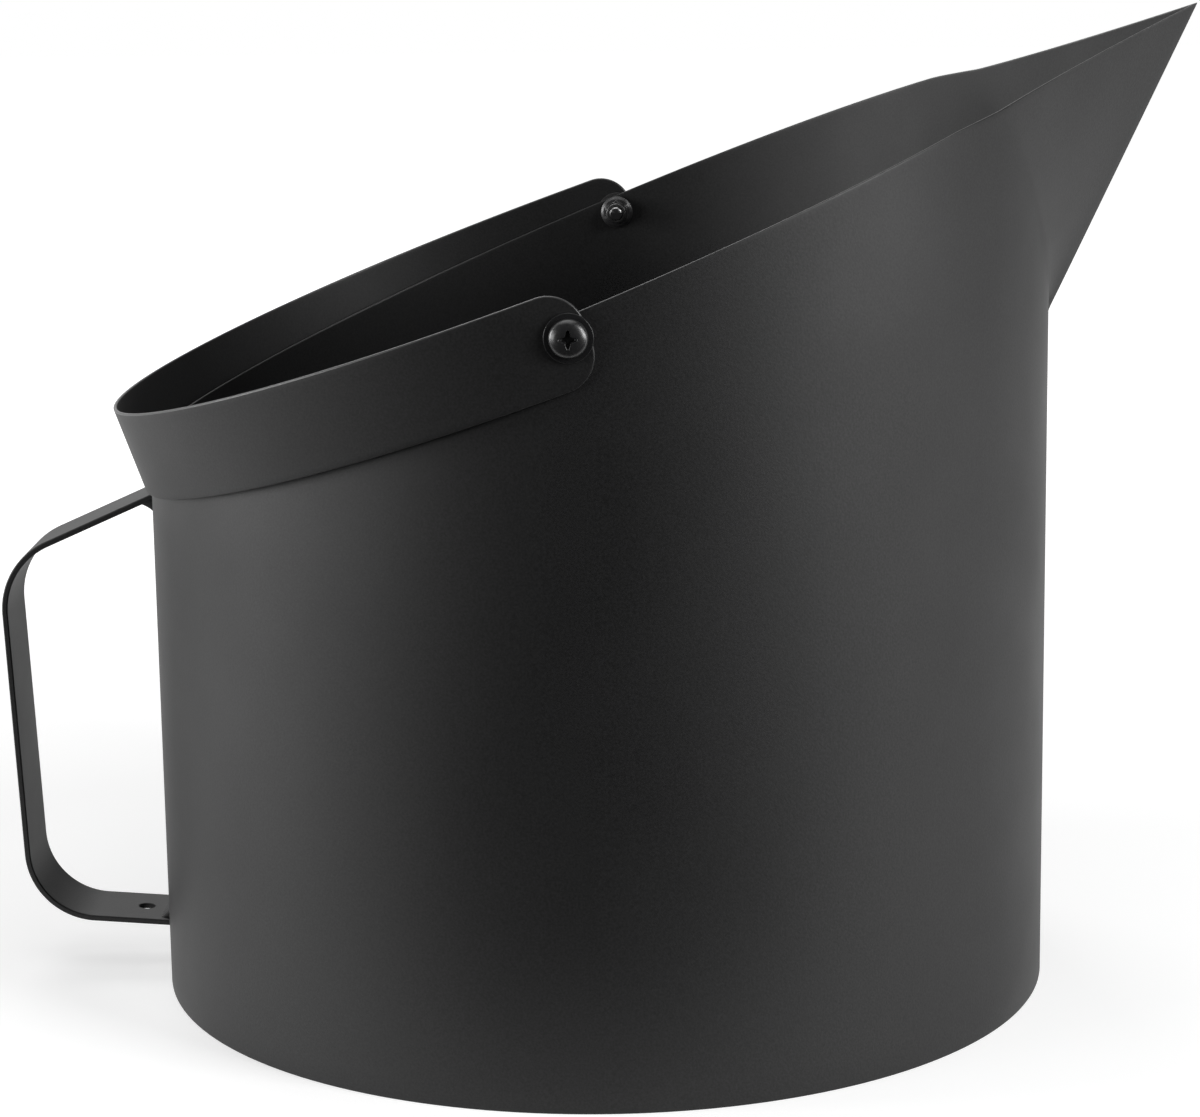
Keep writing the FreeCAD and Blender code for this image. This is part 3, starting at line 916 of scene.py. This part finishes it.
def lamp(name, place_at, width, height, power):
    """Soft box that faces the middle of the bin."""
    data = bpy.data.lights.new(name, "AREA")
    data.shape = "RECTANGLE"
    data.size = width
    data.size_y = height
    data.energy = power
    box = bpy.data.objects.new(name, data)
    box.location = place_at
    box.rotation_euler = (Vector(LAMP_AIM) - Vector(place_at)).to_track_quat("-Z", "Y").to_euler()
    bpy.context.scene.collection.objects.link(box)


def backdrop():
    """White background. Reflections see it behind and beside the bin, and a dim room behind the camera."""
    world = bpy.data.worlds.new("studio")
    bpy.context.scene.world = world
    world.use_nodes = True
    tree = world.node_tree
    white = tree.nodes["Background"]
    white.inputs["Color"].default_value = (1, 1, 1, 1)
    white.inputs["Strength"].default_value = 1.0
    room = tree.nodes.new("ShaderNodeBackground")
    room.inputs["Color"].default_value = (1, 1, 1, 1)
    direction = tree.nodes.new("ShaderNodeTexCoord")
    towards = tree.nodes.new("ShaderNodeVectorMath")
    towards.operation = "DOT_PRODUCT"
    towards.inputs[1].default_value = unit(np.array(ROOM_BRIGHT_SIDE))
    tree.links.new(direction.outputs["Generated"], towards.inputs[0])
    fade = tree.nodes.new("ShaderNodeMapRange")
    fade.interpolation_type = "SMOOTHSTEP"
    fade.inputs["From Min"].default_value = ROOM_FADE[0]
    fade.inputs["From Max"].default_value = ROOM_FADE[1]
    fade.inputs["To Min"].default_value = ROOM_DIM
    fade.inputs["To Max"].default_value = ROOM_WHITE
    tree.links.new(towards.outputs["Value"], fade.inputs["Value"])
    shown = product(tree, fade.outputs["Result"], seen_rays(tree))
    tree.links.new(shown, room.inputs["Strength"])
    mix = tree.nodes.new("ShaderNodeMixShader")
    rays = tree.nodes.new("ShaderNodeLightPath")
    tree.links.new(rays.outputs["Is Camera Ray"], mix.inputs["Fac"])
    tree.links.new(room.outputs["Background"], mix.inputs[1])
    tree.links.new(white.outputs["Background"], mix.inputs[2])
    tree.links.new(mix.outputs["Shader"], tree.nodes["World Output"].inputs["Surface"])


def studio():
    """Soft boxes round the bin, and the plain view transform."""
    for name, settings in SOFT_BOXES.items():
        lamp(name, *settings)
    bpy.context.scene.view_settings.view_transform = "Standard"


coat = powder_coat("powder_coat", *COAT_FINISH)
rim_coat = powder_coat("rim_powder_coat", *RIM_FINISH)
worn_coat = powder_coat("worn_powder_coat", *WORN_FINISH)
head_steel = black_steel("black_steel", *HEAD_FINISH)
nut_steel = black_steel("satin_black_steel", *NUT_FINISH)
washer_steel = black_steel("dark_black_steel", *WASHER_FINISH)
screw_end_steel = bare_steel()
nylon = black_nylon()

handle_top, handle_upper, handle_lower, handle_foot = HANDLE_CORNERS
bin_wall(coat, rim_coat)
bail_strip(coat, worn_coat)
handle_strip(coat)
handle_weld("handle_upper_weld", handle_top, handle_upper, -1, UPPER_WELD, UPPER_INSET, coat)
handle_weld("handle_lower_weld", handle_foot, handle_lower, 1, LOWER_WELD, LOWER_INSET, coat)
base_bead(coat)
frame["nodes"]["base_disc"].data.materials.clear()
frame["nodes"]["base_disc"].data.materials.append(coat)
for side, name in SIDE_NAMES.items():
    pivot_screw(side, head_steel, screw_end_steel)
    lock_nut(side, nut_steel)
    ring(name + "large_washer", "head_washer", side, WASHER_BORE, WASHER_EDGE, washer_steel, "black_steel")
    ring(name + "spacer", "spacer_washer", side, WASHER_BORE, SPACER_EDGE, nylon, "black_nylon")
    ring(name + "insert", "nylon_insert", side, INSERT_BORE, INSERT_EDGE, nylon, "black_nylon")

camera()
floor()
backdrop()
studio()
